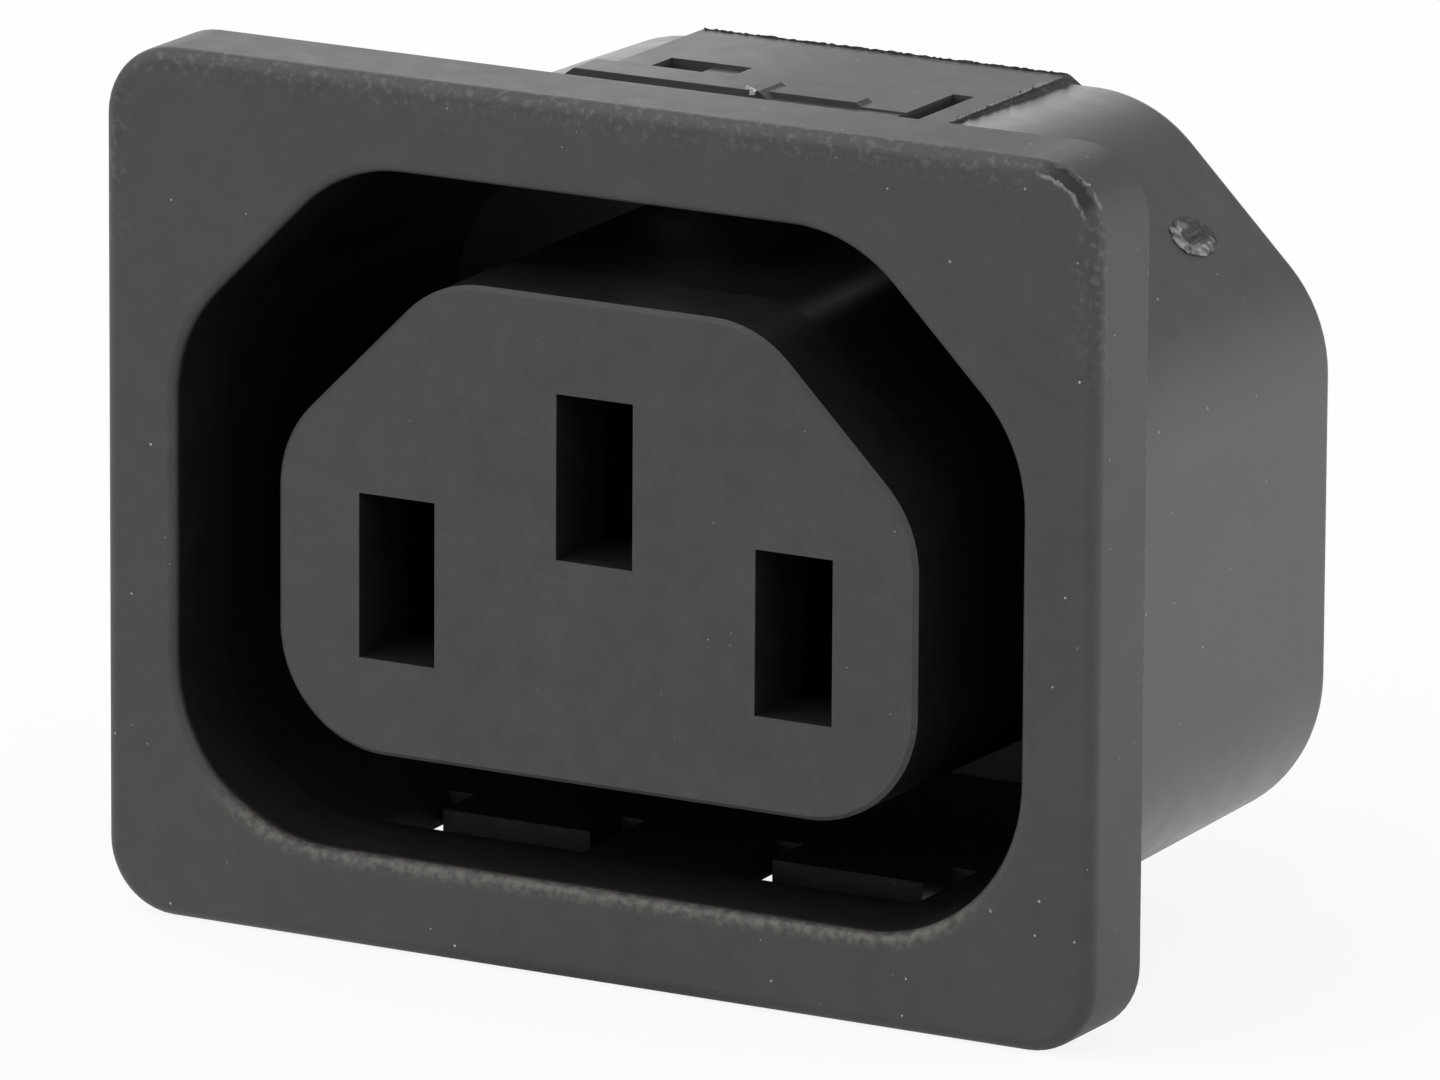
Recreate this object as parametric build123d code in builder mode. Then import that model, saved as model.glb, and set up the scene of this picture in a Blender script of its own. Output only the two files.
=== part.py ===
from build123d import *
from math import radians, sqrt, tan
import os

# Snap-in panel outlet for appliance cords. A black moulded housing with a
# front plate, a shrouded plug cavity and a core with three slots, three
# folded brass contacts with quick-connect tabs, and a staked rear cover.
# Frame: X to the right as the user faces it, Y into the panel, Z up.
# The origin is the centre of the front face. Sizes are in millimetres.

# Contacts: two poles side by side, and the earth contact above them
POLE_SPACING = 14.0
EARTH_RISE = 4.0
POLE_DROP = 2.0
CONTACT_POINTS = {
    "contact_neutral": (-POLE_SPACING / 2, -POLE_DROP),
    "contact_line": (POLE_SPACING / 2, -POLE_DROP),
    "contact_earth": (0, EARTH_RISE - POLE_DROP),
}

# Core that the plug slides over, measured at its front face
CORE_W = 22.5
CORE_H = 15.35
CORE_CUT = 5.65
CORE_R = 3.75
CORE_DRAFT = 0.5
CORE_RECESS = 0.15
CORE_EDGE = 0.14
SLOT_W = 2.7
SLOT_H = 5.25
SLOT_WALL = 3.0

# Cavity round the core, measured at its mouth
PLUG_GAP_SIDE = 3.65
PLUG_GAP_TOP = 3.25
CAVITY_CUT = 6.0
CAVITY_R = 5.0
CAVITY_BOTTOM_R = 5.4
CAVITY_DEPTH = 17.0
CAVITY_DRAFT = 1.0
CAVITY_LIP_R = 0.3

# Shroud and back wall, with the corners measured at the rear
WALL_SIDE = 0.9
WALL_TOP = 0.98
BACK_WALL = 2.45
BODY_DRAFT = 1.2
BODY_CUT = 6.3
BODY_R = 4.75
BODY_BOTTOM_R = 5.25
REAR_EDGE = 0.4

# Front plate, which laps over the edge of the panel cut-out
LAP_SIDE = 1.65
LAP_TOP = 2.0
PLATE_T = 3.2
PLATE_R = 2.3
PLATE_EDGE_R = 0.45

# Snap fingers, cut free of the shroud by a slit on each side. The top one is
# off centre, and its right slit runs on beside the pad.
PANEL_MAX = 2.5
FINGER_GAP = 0.4
HOOK_RISE = 1.1
HOOK_LAND = 0.6
HOOK_RAMP = 4.2
BOTTOM_FINGER_W = 5.3
BOTTOM_FINGER_X = 5.9
BOTTOM_SLIT = 0.9
BOTTOM_FINGER_LENGTH = 1.95
TOP_FINGER_W = 5.0
TOP_FINGER_X = 1.8
TOP_SLIT = 0.75
TOP_FINGER_LENGTH = 5.3
TOP_SLIT_LENGTH = 9.4

# Raised pad behind the top finger, with a level face and sloped sides, a rib
# across its left front, a lower rim beside the rib, and a pocket behind them
PAD_LEFT = -7.0
PAD_RIGHT = 6.1
PAD_LENGTH = 8.85
PAD_RISE = 0.22
PAD_SIDE_RUN = 1.4
RIB_LEFT = -7.3
RIB_RISE = 0.2
RIB_T = 1.5
RIB_STEP = 1.0
RIM_RIGHT = 2.5
RIM_RISE = 0.12
RIM_T = 0.8
RIM_STEP = 1.45
POCKET_LEFT = -5.8
POCKET_W = 2.9
POCKET_LENGTH = 2.1
POCKET_DEPTH = 0.15
HOLE_W = 1.5

# Gate mark of the moulding: a dimple on the cut upper right corner
GATE_R = 0.6
GATE_DEPTH = 0.12
GATE_SIDE = 3.15
GATE_FROM_REAR = 4.2

# Rear cover, sunk in the back wall and held by three heat stakes
COVER_T = 1.2
COVER_INSET = 0.9
COVER_CLEARANCE = 0.1
COVER_EDGE = 0.2
STAKE_R = 0.8
STAKE_CLEARANCE = 0.1
STAKE_HEAD_R = 1.3
STAKE_HEAD_H = 0.55
STAKE_POINTS = [(0, -4.8), (-4.6, 3.7), (4.6, 3.7)]

# Folded contact: two spring leaves that meet in a doubled tab
STRIP_T = 0.4
LEAF_H = 4.8
LEAF_SPREAD = 3.1
LEAF_STRAIGHT = 2.2
PINCH_GAP = 1.6
PINCH_DEPTH = 9.0
MOUTH_GAP = 3.0
MOUTH_DEPTH = 6.0
CHAMBER_SPACE = 0.3
CHAMBER_H = 5.8
TAB_W = 6.3
TAB_LENGTH = 8.0
TAB_TIP = 1.0
TAB_HOLE_R = 0.825
TAB_HOLE_FROM_TIP = 3.2
TAB_CLEARANCE = 0.1

# How far an added shape is sunk into its wall, and a cutter reaches past it
OVERLAP = 0.45
CUT_REACH = 1.5

# Sizes that follow from the ones above
CAVITY_W = CORE_W + 2 * PLUG_GAP_SIDE
CAVITY_H = CORE_H + 2 * PLUG_GAP_TOP
BODY_W = CAVITY_W + 2 * WALL_SIDE
BODY_H = CAVITY_H + 2 * WALL_TOP
PLATE_W = BODY_W + 2 * LAP_SIDE
PLATE_H = BODY_H + 2 * LAP_TOP
BODY_DEPTH = CAVITY_DEPTH + BACK_WALL
BODY_SHRINK = tan(radians(BODY_DRAFT)) * (BODY_DEPTH - PLATE_T)
COVER_FLOOR = BODY_DEPTH - COVER_T
PAD_FRONT = BODY_DEPTH - PAD_LENGTH
PAD_TOP = BODY_H / 2 - BODY_SHRINK + PAD_RISE
WINDOW_FRONT = PLATE_T + FINGER_GAP
FINGER_END = PLATE_T + PANEL_MAX
TAB_T = 2 * STRIP_T
CHAMBER_W = MOUTH_GAP + 2 * STRIP_T + 2 * CHAMBER_SPACE
CHAMBER_FRONT = CORE_RECESS + SLOT_WALL
BEND_R = STRIP_T / 2 + TAB_CLEARANCE


def station(depth):
    """Sketch plane at a depth behind the front face, X to the right and Z up."""
    return Plane.XZ.offset(-depth)


def wall_height(depth):
    """Height of the shroud's outer face above the axis at a depth."""
    return BODY_H / 2 - tan(radians(BODY_DRAFT)) * (depth - PLATE_T)


def outline(width, height, cut, radius, bottom_radius, grow=0.0):
    """Rectangle with both top corners cut at 45 degrees and every corner rounded."""
    x, z = width / 2, height / 2
    with BuildSketch(mode=Mode.PRIVATE) as shape:
        Polygon((-x, -z), (x, -z), (x, z - cut), (x - cut, z), (cut - x, z), (-x, z - cut), align=None)
        bottom_row, cut_row, top_row = shape.vertices().group_by(Axis.Y)
        fillet(cut_row + top_row, radius)
        fillet(shape.vertices().group_by(Axis.Y)[0], bottom_radius)
        if grow:
            offset(amount=grow)
    return shape.sketch


def cavity_outline(grow=0.0):
    return outline(CAVITY_W, CAVITY_H, CAVITY_CUT, CAVITY_R, CAVITY_BOTTOM_R, grow)


def core_outline(grow=0.0):
    return outline(CORE_W, CORE_H, CORE_CUT, CORE_R, CORE_R, grow)


def side_prism(points, centre_x, width):
    """Prism across the part, from points given as depth and height."""
    with BuildSketch(Plane.YZ.offset(centre_x)) as side_shape:
        Polygon(*points, align=None)
    extrude(side_shape.sketch, amount=width / 2, both=True)


def snap_finger(side, centre_x, width, slit, length):
    """Frees a finger from the top (side 1) or bottom (side -1) wall and gives it its hook."""
    root = FINGER_END + length
    inner = CAVITY_H / 2 - CUT_REACH
    outer = BODY_H / 2 + CUT_REACH
    with BuildSketch(Plane.XY.offset(inner if side > 0 else -outer)) as window:
        with Locations((centre_x, (WINDOW_FRONT + root) / 2)):
            Rectangle(width + 2 * slit, root - WINDOW_FRONT)
        with Locations((centre_x, (FINGER_END + root) / 2)):
            Rectangle(width, root - FINGER_END, mode=Mode.SUBTRACT)
    extrude(window.sketch, amount=outer - inner, mode=Mode.SUBTRACT)
    ramp_end = FINGER_END + HOOK_LAND + HOOK_RAMP
    crest = wall_height(FINGER_END) + HOOK_RISE
    hook = [
        (FINGER_END, side * (wall_height(FINGER_END) - OVERLAP)),
        (FINGER_END, side * crest),
        (FINGER_END + HOOK_LAND, side * crest),
        (ramp_end, side * wall_height(ramp_end)),
        (ramp_end, side * (wall_height(ramp_end) - OVERLAP)),
    ]
    side_prism(hook, centre_x, width)


def pad_block(left, right, front, rear, top):
    """Block sunk in the top wall, with a level face and both sides sloped."""
    base = wall_height(rear) - OVERLAP
    spread = PAD_SIDE_RUN * (top - base)
    with BuildSketch(station(rear)) as block:
        Polygon((left - spread, base), (right + spread, base), (right, top), (left, top), align=None)
    extrude(block.sketch, amount=rear - front)


def top_opening(left, right, front, rear, floor):
    """Cuts the top of the body open between two depths, down to a height."""
    with BuildSketch(Plane.XY.offset(floor)) as opening:
        with Locations(((left + right) / 2, (front + rear) / 2)):
            Rectangle(right - left, rear - front)
    extrude(opening.sketch, amount=BODY_H / 2 + CUT_REACH - floor, mode=Mode.SUBTRACT)


# Housing: front plate, shroud, core and back wall are one moulding
with BuildPart() as housing:
    # Shroud and back wall, tapered towards the rear
    rear_w = BODY_W - 2 * BODY_SHRINK
    rear_h = BODY_H - 2 * BODY_SHRINK
    with BuildSketch(station(BODY_DEPTH)):
        add(outline(rear_w, rear_h, BODY_CUT, BODY_R, BODY_BOTTOM_R))
    extrude(amount=BODY_DEPTH - PLATE_T, taper=-BODY_DRAFT)
    fillet(housing.faces().sort_by(Axis.Y)[-1].edges(), REAR_EDGE)

    # Raised pad on top. Its strip right of the finger's slit reaches furthest forward.
    finger_left = TOP_FINGER_X - TOP_FINGER_W / 2
    finger_right = TOP_FINGER_X + TOP_FINGER_W / 2
    rib_front = PAD_FRONT + RIB_STEP
    rim_front = PAD_FRONT + RIM_STEP
    pad_block(PAD_LEFT, PAD_RIGHT, rim_front, BODY_DEPTH, PAD_TOP)
    pad_block(finger_right, PAD_RIGHT, PAD_FRONT, BODY_DEPTH, PAD_TOP)
    pad_block(RIB_LEFT, finger_left, rib_front, rib_front + RIB_T, PAD_TOP + RIB_RISE)
    pad_block(finger_left, RIM_RIGHT, rim_front, rim_front + RIM_T, PAD_TOP + RIM_RISE)

    # Front plate
    with BuildSketch(station(PLATE_T)):
        RectangleRounded(PLATE_W, PLATE_H, PLATE_R)
    extrude(amount=PLATE_T)
    fillet(housing.faces().sort_by(Axis.Y)[0].edges(), PLATE_EDGE_R)

    # Plug cavity with its rounded lip
    cavity_shrink = tan(radians(CAVITY_DRAFT)) * CAVITY_DEPTH
    with BuildSketch(station(CAVITY_DEPTH)):
        add(cavity_outline(-cavity_shrink))
    extrude(amount=CAVITY_DEPTH, taper=-CAVITY_DRAFT, mode=Mode.SUBTRACT)
    fillet(housing.faces().sort_by(Axis.Y)[0].inner_wires()[0].edges(), CAVITY_LIP_R)

    # Snap fingers: one on top, two below
    snap_finger(1, TOP_FINGER_X, TOP_FINGER_W, TOP_SLIT, TOP_FINGER_LENGTH)
    for side in (-1, 1):
        snap_finger(-1, side * BOTTOM_FINGER_X, BOTTOM_FINGER_W, BOTTOM_SLIT, BOTTOM_FINGER_LENGTH)

    # The top finger's right slit runs on, and the pocket has a hole at its left
    wall_inside = CAVITY_H / 2 - CUT_REACH
    slit_end = FINGER_END + TOP_SLIT_LENGTH
    top_opening(finger_right, finger_right + TOP_SLIT, FINGER_END, slit_end, wall_inside)
    pocket_front = rib_front + RIB_T
    pocket_rear = pocket_front + POCKET_LENGTH
    top_opening(POCKET_LEFT, POCKET_LEFT + POCKET_W, pocket_front, pocket_rear, PAD_TOP - POCKET_DEPTH)
    top_opening(POCKET_LEFT, POCKET_LEFT + HOLE_W, pocket_front, pocket_rear, wall_inside)

    # Gate mark, on the middle line of the cut corner's flat
    gate_depth = BODY_DEPTH - GATE_FROM_REAR
    rear_flat = (rear_w / 2 + rear_h / 2 - BODY_CUT) / sqrt(2)
    flat_distance = rear_flat + tan(radians(BODY_DRAFT)) * GATE_FROM_REAR
    gate_plane = Plane(
        origin=((flat_distance + GATE_SIDE) / sqrt(2), gate_depth, (flat_distance - GATE_SIDE) / sqrt(2)),
        x_dir=(0, 1, 0),
        z_dir=(1, 0, 1),
    )
    with BuildSketch(gate_plane):
        Circle(GATE_R)
    extrude(amount=GATE_DEPTH, both=True, mode=Mode.SUBTRACT)

    # Core
    core_length = CAVITY_DEPTH - CORE_RECESS
    core_grow = tan(radians(CORE_DRAFT)) * core_length
    with BuildSketch(station(CAVITY_DEPTH)):
        add(core_outline(core_grow))
    extrude(amount=core_length, taper=CORE_DRAFT)
    core_face = housing.faces().filter_by(Axis.Y).group_by(Axis.Y)[1].sort_by(SortBy.AREA)[-1]
    chamfer(core_face.edges(), CORE_EDGE)

    # Pin slots through the core's front wall, and the contact chambers behind them
    with BuildSketch(station(CHAMBER_FRONT)):
        with Locations(*CONTACT_POINTS.values()):
            Rectangle(SLOT_W, SLOT_H)
    extrude(amount=CHAMBER_FRONT, mode=Mode.SUBTRACT)
    with BuildSketch(station(BODY_DEPTH)):
        with Locations(*CONTACT_POINTS.values()):
            Rectangle(CHAMBER_W, CHAMBER_H)
    extrude(amount=BODY_DEPTH - CHAMBER_FRONT, mode=Mode.SUBTRACT)

    # Recess for the rear cover, and the stakes that hold it
    with BuildSketch(station(BODY_DEPTH)):
        add(core_outline(-COVER_INSET))
    extrude(amount=COVER_T, mode=Mode.SUBTRACT)
    with BuildSketch(station(BODY_DEPTH)):
        with Locations(*STAKE_POINTS):
            Circle(STAKE_R)
    extrude(amount=COVER_T)
    with BuildSketch(station(BODY_DEPTH + STAKE_HEAD_H)):
        with Locations(*STAKE_POINTS):
            Circle(STAKE_HEAD_R)
    extrude(amount=STAKE_HEAD_H)

# Rear cover: a plate that closes the contact chambers round the three tabs
with BuildPart() as rear_cover:
    with BuildSketch(station(BODY_DEPTH)):
        add(core_outline(-COVER_INSET - COVER_CLEARANCE))
    extrude(amount=COVER_T)
    chamfer(rear_cover.faces().sort_by(Axis.Y)[-1].edges(), COVER_EDGE)
    with BuildSketch(station(BODY_DEPTH)):
        with Locations(*CONTACT_POINTS.values()):
            Rectangle(TAB_T + 2 * TAB_CLEARANCE, TAB_W + 2 * TAB_CLEARANCE)
        with Locations(*STAKE_POINTS):
            Circle(STAKE_R + STAKE_CLEARANCE)
    extrude(amount=COVER_T, mode=Mode.SUBTRACT)

os.makedirs("parts", exist_ok=True)
housing.part.label = "housing"
export_step(housing.part, "parts/housing.step")
rear_cover.part.label = "rear_cover"
export_step(rear_cover.part, "parts/rear_cover.step")

# Contacts: each is one folded strip. Its leaves spread in front of the cover,
# close in to grip the pin and flare at the mouth.
SPREAD_X = (LEAF_SPREAD - STRIP_T) / 2
PINCH_X = (PINCH_GAP + STRIP_T) / 2
MOUTH_X = (MOUTH_GAP + STRIP_T) / 2
SHOULDER_DEPTH = COVER_FLOOR - STRIP_T / 2
LEAF_PATH = [
    (STRIP_T / 2, COVER_FLOOR + OVERLAP),
    (STRIP_T / 2, SHOULDER_DEPTH),
    (SPREAD_X, SHOULDER_DEPTH),
    (SPREAD_X, SHOULDER_DEPTH - LEAF_STRAIGHT),
    (PINCH_X, PINCH_DEPTH),
    (MOUTH_X, MOUTH_DEPTH),
]

for name, (x, z) in CONTACT_POINTS.items():
    with BuildPart() as contact:
        with BuildSketch(Plane((x, 0, z - LEAF_H / 2))):
            with BuildLine() as leaf:
                FilletPolyline(*LEAF_PATH, radius=BEND_R)
            trace(line_width=STRIP_T)
            mirror(about=Plane.YZ)
        extrude(amount=LEAF_H)
        tab_length = BODY_DEPTH + TAB_LENGTH - COVER_FLOOR
        with BuildSketch(Plane.YZ.offset(x)) as tab:
            with Locations((COVER_FLOOR + tab_length / 2, z)):
                Rectangle(tab_length, TAB_W)
            chamfer(tab.vertices().group_by(Axis.X)[-1], TAB_TIP)
            with Locations((BODY_DEPTH + TAB_LENGTH - TAB_HOLE_FROM_TIP, z)):
                Circle(TAB_HOLE_R, mode=Mode.SUBTRACT)
        extrude(amount=TAB_T / 2, both=True)
    contact.part.label = name
    export_step(contact.part, f"parts/{name}.step")
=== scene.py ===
import math
import random

import bmesh
import bpy
from mathutils import Matrix, Vector, noise


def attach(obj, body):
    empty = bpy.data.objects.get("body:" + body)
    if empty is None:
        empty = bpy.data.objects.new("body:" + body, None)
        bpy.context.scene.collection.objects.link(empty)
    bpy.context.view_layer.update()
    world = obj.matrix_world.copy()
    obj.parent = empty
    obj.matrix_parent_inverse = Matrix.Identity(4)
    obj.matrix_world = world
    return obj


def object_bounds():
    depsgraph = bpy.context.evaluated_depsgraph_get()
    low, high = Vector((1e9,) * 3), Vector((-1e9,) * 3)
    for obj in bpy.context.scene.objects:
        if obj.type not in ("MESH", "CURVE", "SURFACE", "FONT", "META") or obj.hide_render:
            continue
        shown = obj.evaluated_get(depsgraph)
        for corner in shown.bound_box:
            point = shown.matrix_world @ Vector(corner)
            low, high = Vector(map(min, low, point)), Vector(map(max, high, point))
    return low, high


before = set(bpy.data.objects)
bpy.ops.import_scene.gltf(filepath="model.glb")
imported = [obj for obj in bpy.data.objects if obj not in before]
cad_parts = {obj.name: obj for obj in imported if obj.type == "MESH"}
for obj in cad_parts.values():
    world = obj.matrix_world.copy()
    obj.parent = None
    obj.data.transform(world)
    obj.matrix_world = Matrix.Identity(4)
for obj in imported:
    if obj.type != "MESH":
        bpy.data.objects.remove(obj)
cad_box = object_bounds()
scene = bpy.context.scene
MM = 0.001

# Camera: stands to the right of the outlet and a little above it, far back with
# a long lens, so that the plate's top and right edges and the body behind show.
VIEW_AZIMUTH = math.radians(29.133)
VIEW_ELEVATION = math.radians(14.237)
VIEW_ROLL = math.radians(0.342)
VIEW_DISTANCE = 490.944 * MM
VIEW_TARGET = Vector((4.5034, 0.0, 0.8041)) * MM
FOCAL_PIXELS = 16107.3
PHOTO_WIDTH = 1440
SENSOR_WIDTH = 36.0
CLIP_RANGE = (0.01, 50.0)

forward = Vector((
    -math.sin(VIEW_AZIMUTH) * math.cos(VIEW_ELEVATION),
    math.cos(VIEW_AZIMUTH) * math.cos(VIEW_ELEVATION),
    -math.sin(VIEW_ELEVATION),
))
level_right = Vector((math.cos(VIEW_AZIMUTH), math.sin(VIEW_AZIMUTH), 0.0))
level_up = level_right.cross(forward)
camera_right = level_right * math.cos(VIEW_ROLL) + level_up * math.sin(VIEW_ROLL)
camera_up = level_up * math.cos(VIEW_ROLL) - level_right * math.sin(VIEW_ROLL)
camera_data = bpy.data.cameras.new("camera")
camera_data.sensor_fit = "HORIZONTAL"
camera_data.sensor_width = SENSOR_WIDTH
camera_data.lens = FOCAL_PIXELS / PHOTO_WIDTH * SENSOR_WIDTH
camera_data.clip_start, camera_data.clip_end = CLIP_RANGE
camera = bpy.data.objects.new("camera", camera_data)
scene.collection.objects.link(camera)
camera.matrix_world = Matrix.Translation(VIEW_TARGET - forward * VIEW_DISTANCE) @ Matrix((
    (camera_right.x, camera_up.x, -forward.x, 0.0),
    (camera_right.y, camera_up.y, -forward.y, 0.0),
    (camera_right.z, camera_up.z, -forward.z, 0.0),
    (0.0, 0.0, 0.0, 1.0),
))
scene.camera = camera
scene.view_settings.view_transform = "Standard"

# Studio: a white table under broad soft lights. In gloss the table is darker
# right under the outlet, as painted shadow, and towards the front. From below
# it is see-through.
TABLE_HALF = 4.0
TABLE_GAP = 0.01 * MM
TABLE_COLOUR = (0.92, 0.92, 0.92, 1.0)
SHADOW_SHARE = 0.12
TABLE_IN_GLOSS = 1.03
UNDER_CENTRE = 11.5 * MM
UNDER_REACH = (7.0 * MM, 15.0 * MM)
DIM_SIDE = (0.3, -0.95)
DIM_SPREAD = (0.0, 0.9)
DIM_SHARE = 0.42
LIGHT_COLOUR = (1.0, 1.0, 1.0, 1.0)
SOFT_LIGHTS = [
    # direction, sharpness, level
    ((0.0, 0.0, 1.0), 0.0, 0.12),
    ((-0.52, 0.82, 0.22), 12.0, 1.72),
    ((-0.50, 0.60, 0.60), 8.0, 0.20),
    ((0.80, 0.55, 0.15), 8.0, 1.95),
    ((-0.47, -0.25, 0.85), 5.0, 1.45),
    ((0.10, -0.70, 0.70), 5.0, 0.38),
    ((-0.60, -0.72, 0.30), 6.0, 0.95),
    ((0.85, -0.47, 0.20), 6.0, 0.90),
]


def link_material(name):
    """New node material with its output node only, its tree, and that node."""
    material = bpy.data.materials.new(name)
    material.use_nodes = True
    tree = material.node_tree
    tree.nodes.clear()
    return material, tree, tree.nodes.new("ShaderNodeOutputMaterial")


def feed(tree, socket, value):
    """Sets a socket to a number or colour, or links another node's output to it."""
    if isinstance(value, bpy.types.NodeSocket):
        tree.links.new(value, socket)
    else:
        socket.default_value = value


def calculate(tree, operation, *values):
    """Output of a Math node; each value is a number or another node's output."""
    node = tree.nodes.new("ShaderNodeMath")
    node.operation = operation
    for socket, value in zip(node.inputs, values):
        feed(tree, socket, value)
    return node.outputs[0]


def product(tree, result, *values):
    """Product of several values; of shares, 1 only where all of them are 1."""
    for value in values:
        result = calculate(tree, "MULTIPLY", result, value)
    return result


def fade(tree, value, start, end):
    """0 before start, 1 past end, and a smooth step between them."""
    node = tree.nodes.new("ShaderNodeMapRange")
    node.interpolation_type = "SMOOTHSTEP"
    feed(tree, node.inputs["Value"], value)
    feed(tree, node.inputs["From Min"], start)
    feed(tree, node.inputs["From Max"], end)
    return node.outputs["Result"]


def length_of(tree, first, second):
    """Length of the diagonal that two lengths at right angles span."""
    square = calculate(tree, "MULTIPLY", second, second)
    return calculate(tree, "SQRT", calculate(tree, "MULTIPLY_ADD", first, first, square))


def reach_along(tree, vector, direction):
    """How far a vector reaches along a direction."""
    node = tree.nodes.new("ShaderNodeVectorMath")
    node.operation = "DOT_PRODUCT"
    tree.links.new(vector, node.inputs[0])
    node.inputs[1].default_value = direction
    return node.outputs["Value"]


def place_of(tree):
    """The Object coordinates of the point that is shaded."""
    return tree.nodes.new("ShaderNodeTexCoord").outputs["Object"]


def axes_of(tree, coords):
    """X, Y and Z of the coordinates."""
    split = tree.nodes.new("ShaderNodeSeparateXYZ")
    tree.links.new(coords, split.inputs[0])
    return split.outputs


def straight_rays(tree, rays):
    """1 for rays that look straight at the studio or through glass."""
    return calculate(tree, "MAXIMUM", rays["Is Camera Ray"], rays["Is Transmission Ray"])


table_material, tree, output = link_material("white_table")
axes = axes_of(tree, place_of(tree))
x = axes["X"]
y = calculate(tree, "SUBTRACT", axes["Y"], UNDER_CENTRE)
away = length_of(tree, x, y)
towards = calculate(tree, "MULTIPLY_ADD", x, DIM_SIDE[0], calculate(tree, "MULTIPLY", y, DIM_SIDE[1]))
towards = calculate(tree, "DIVIDE", towards, calculate(tree, "MAXIMUM", away, MM))
dimmed = calculate(tree, "MULTIPLY_ADD", fade(tree, towards, *DIM_SPREAD), -DIM_SHARE, 1.0)
rays = tree.nodes.new("ShaderNodeLightPath").outputs
seen = straight_rays(tree, rays)
mirrored = rays["Is Glossy Ray"]
# Painted shadow: in gloss the table's glow fades out under the outlet.
in_gloss = product(tree, mirrored, dimmed, fade(tree, away, *UNDER_REACH), TABLE_IN_GLOSS)
table_coat = tree.nodes.new("ShaderNodeBsdfDiffuse")
table_coat.inputs["Color"].default_value = TABLE_COLOUR
table_glow = tree.nodes.new("ShaderNodeEmission")
tree.links.new(calculate(tree, "ADD", seen, in_gloss), table_glow.inputs["Strength"])
glow_share = calculate(tree, "MULTIPLY_ADD", seen, 1.0 - SHADOW_SHARE, mirrored)
backface = tree.nodes.new("ShaderNodeNewGeometry").outputs["Backfacing"]
see_through = tree.nodes.new("ShaderNodeBsdfTransparent")
top_mix = tree.nodes.new("ShaderNodeMixShader")
feed(tree, top_mix.inputs["Fac"], glow_share)
feed(tree, top_mix.inputs[1], table_coat.outputs[0])
feed(tree, top_mix.inputs[2], table_glow.outputs[0])
side_mix = tree.nodes.new("ShaderNodeMixShader")
feed(tree, side_mix.inputs["Fac"], product(tree, rays["Is Camera Ray"], backface))
feed(tree, side_mix.inputs[1], top_mix.outputs[0])
feed(tree, side_mix.inputs[2], see_through.outputs[0])
tree.links.new(side_mix.outputs[0], output.inputs["Surface"])

bm = bmesh.new()
bmesh.ops.create_grid(bm, x_segments=1, y_segments=1, size=TABLE_HALF)
bmesh.ops.translate(bm, vec=(0.0, 0.0, cad_box[0][2] - TABLE_GAP), verts=bm.verts)
table_mesh = bpy.data.meshes.new("table")
bm.to_mesh(table_mesh)
bm.free()
table_mesh.materials.append(table_material)
table = bpy.data.objects.new("table", table_mesh)
scene.collection.objects.link(table)

world = bpy.data.worlds.new("studio")
scene.world = world
world.use_nodes = True
tree = world.node_tree
tree.nodes.clear()
direction = tree.nodes.new("ShaderNodeTexCoord").outputs["Generated"]
level = 0.0
for towards, sharpness, strength in SOFT_LIGHTS:
    facing = reach_along(tree, direction, Vector(towards).normalized())
    lobe = calculate(tree, "MULTIPLY_ADD", facing, sharpness, -sharpness)
    level = calculate(tree, "MULTIPLY_ADD", calculate(tree, "EXPONENT", lobe), strength, level)
seen = straight_rays(tree, tree.nodes.new("ShaderNodeLightPath").outputs)
level = product(tree, level, calculate(tree, "SUBTRACT", 1.0, seen))
glow = tree.nodes.new("ShaderNodeBackground")
glow.inputs["Color"].default_value = LIGHT_COLOUR
tree.links.new(calculate(tree, "ADD", level, seen), glow.inputs["Strength"])
tree.links.new(glow.outputs[0], tree.nodes.new("ShaderNodeOutputWorld").inputs["Surface"])

# Housing: the outlet's body, one injection moulding in black plastic. The plate
# and the core's face are spark-textured and dull, and the shroud is satin. The
# plug cavity and slots are darkened nearly to black with painted shade, the
# edges carry painted highlights, and dust has settled on it.
PLATE_DEPTH = 3.2 * MM
PLATE_HALF_WIDTH = 17.45 * MM
PLATE_HALF_HEIGHT = 13.905 * MM
PLATE_CORNER_RADIUS = 2.3 * MM
CAVITY_HALF_WIDTH = 14.9 * MM
CAVITY_HALF_HEIGHT = 10.925 * MM
CAVITY_CUT = 14.02 * MM
CAVITY_BOTTOM_RADIUS = 5.4 * MM
CAVITY_DEPTH = 17.6 * MM
CAVITY_DRAFT = 0.0175
CAVITY_SKIN = 0.06 * MM
LIP_RADIUS = 0.3 * MM
LOW_LIP = (-9.0 * MM, -10.4 * MM)
SHADE_START = 0.08 * MM
SHADE_LOW_SHIFT = 0.2 * MM
SHADE_SPAN = 0.28 * MM
CORE_GAP = -1.5 * MM
CORE_EDGE = 0.32 * MM
SLOT_HALF = (1.36 * MM, 2.64 * MM)
SLOT_PLACES = ((-7.0 * MM, -2.0 * MM), (7.0 * MM, -2.0 * MM), (0.0, 2.0 * MM))
SLOT_DEPTH = 0.2 * MM
WINDOW_REACH = 0.85 * MM
WINDOW_START = 3.25 * MM
WINDOW_TOP = -10.7 * MM
PAD_FRONT = 10.7 * MM
PAD_FOOT = (6.13 * MM, 6.5 * MM)
PAD_REAR = (18.95 * MM, 19.3 * MM)
PAD_SIDES = (-7.0 * MM, 6.1 * MM)
PAD_SLOPE = 0.3 * MM
PAD_SHADE_LEVEL = 11.3 * MM
PAD_LEVEL = (11.60 * MM, 11.72 * MM)

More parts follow.
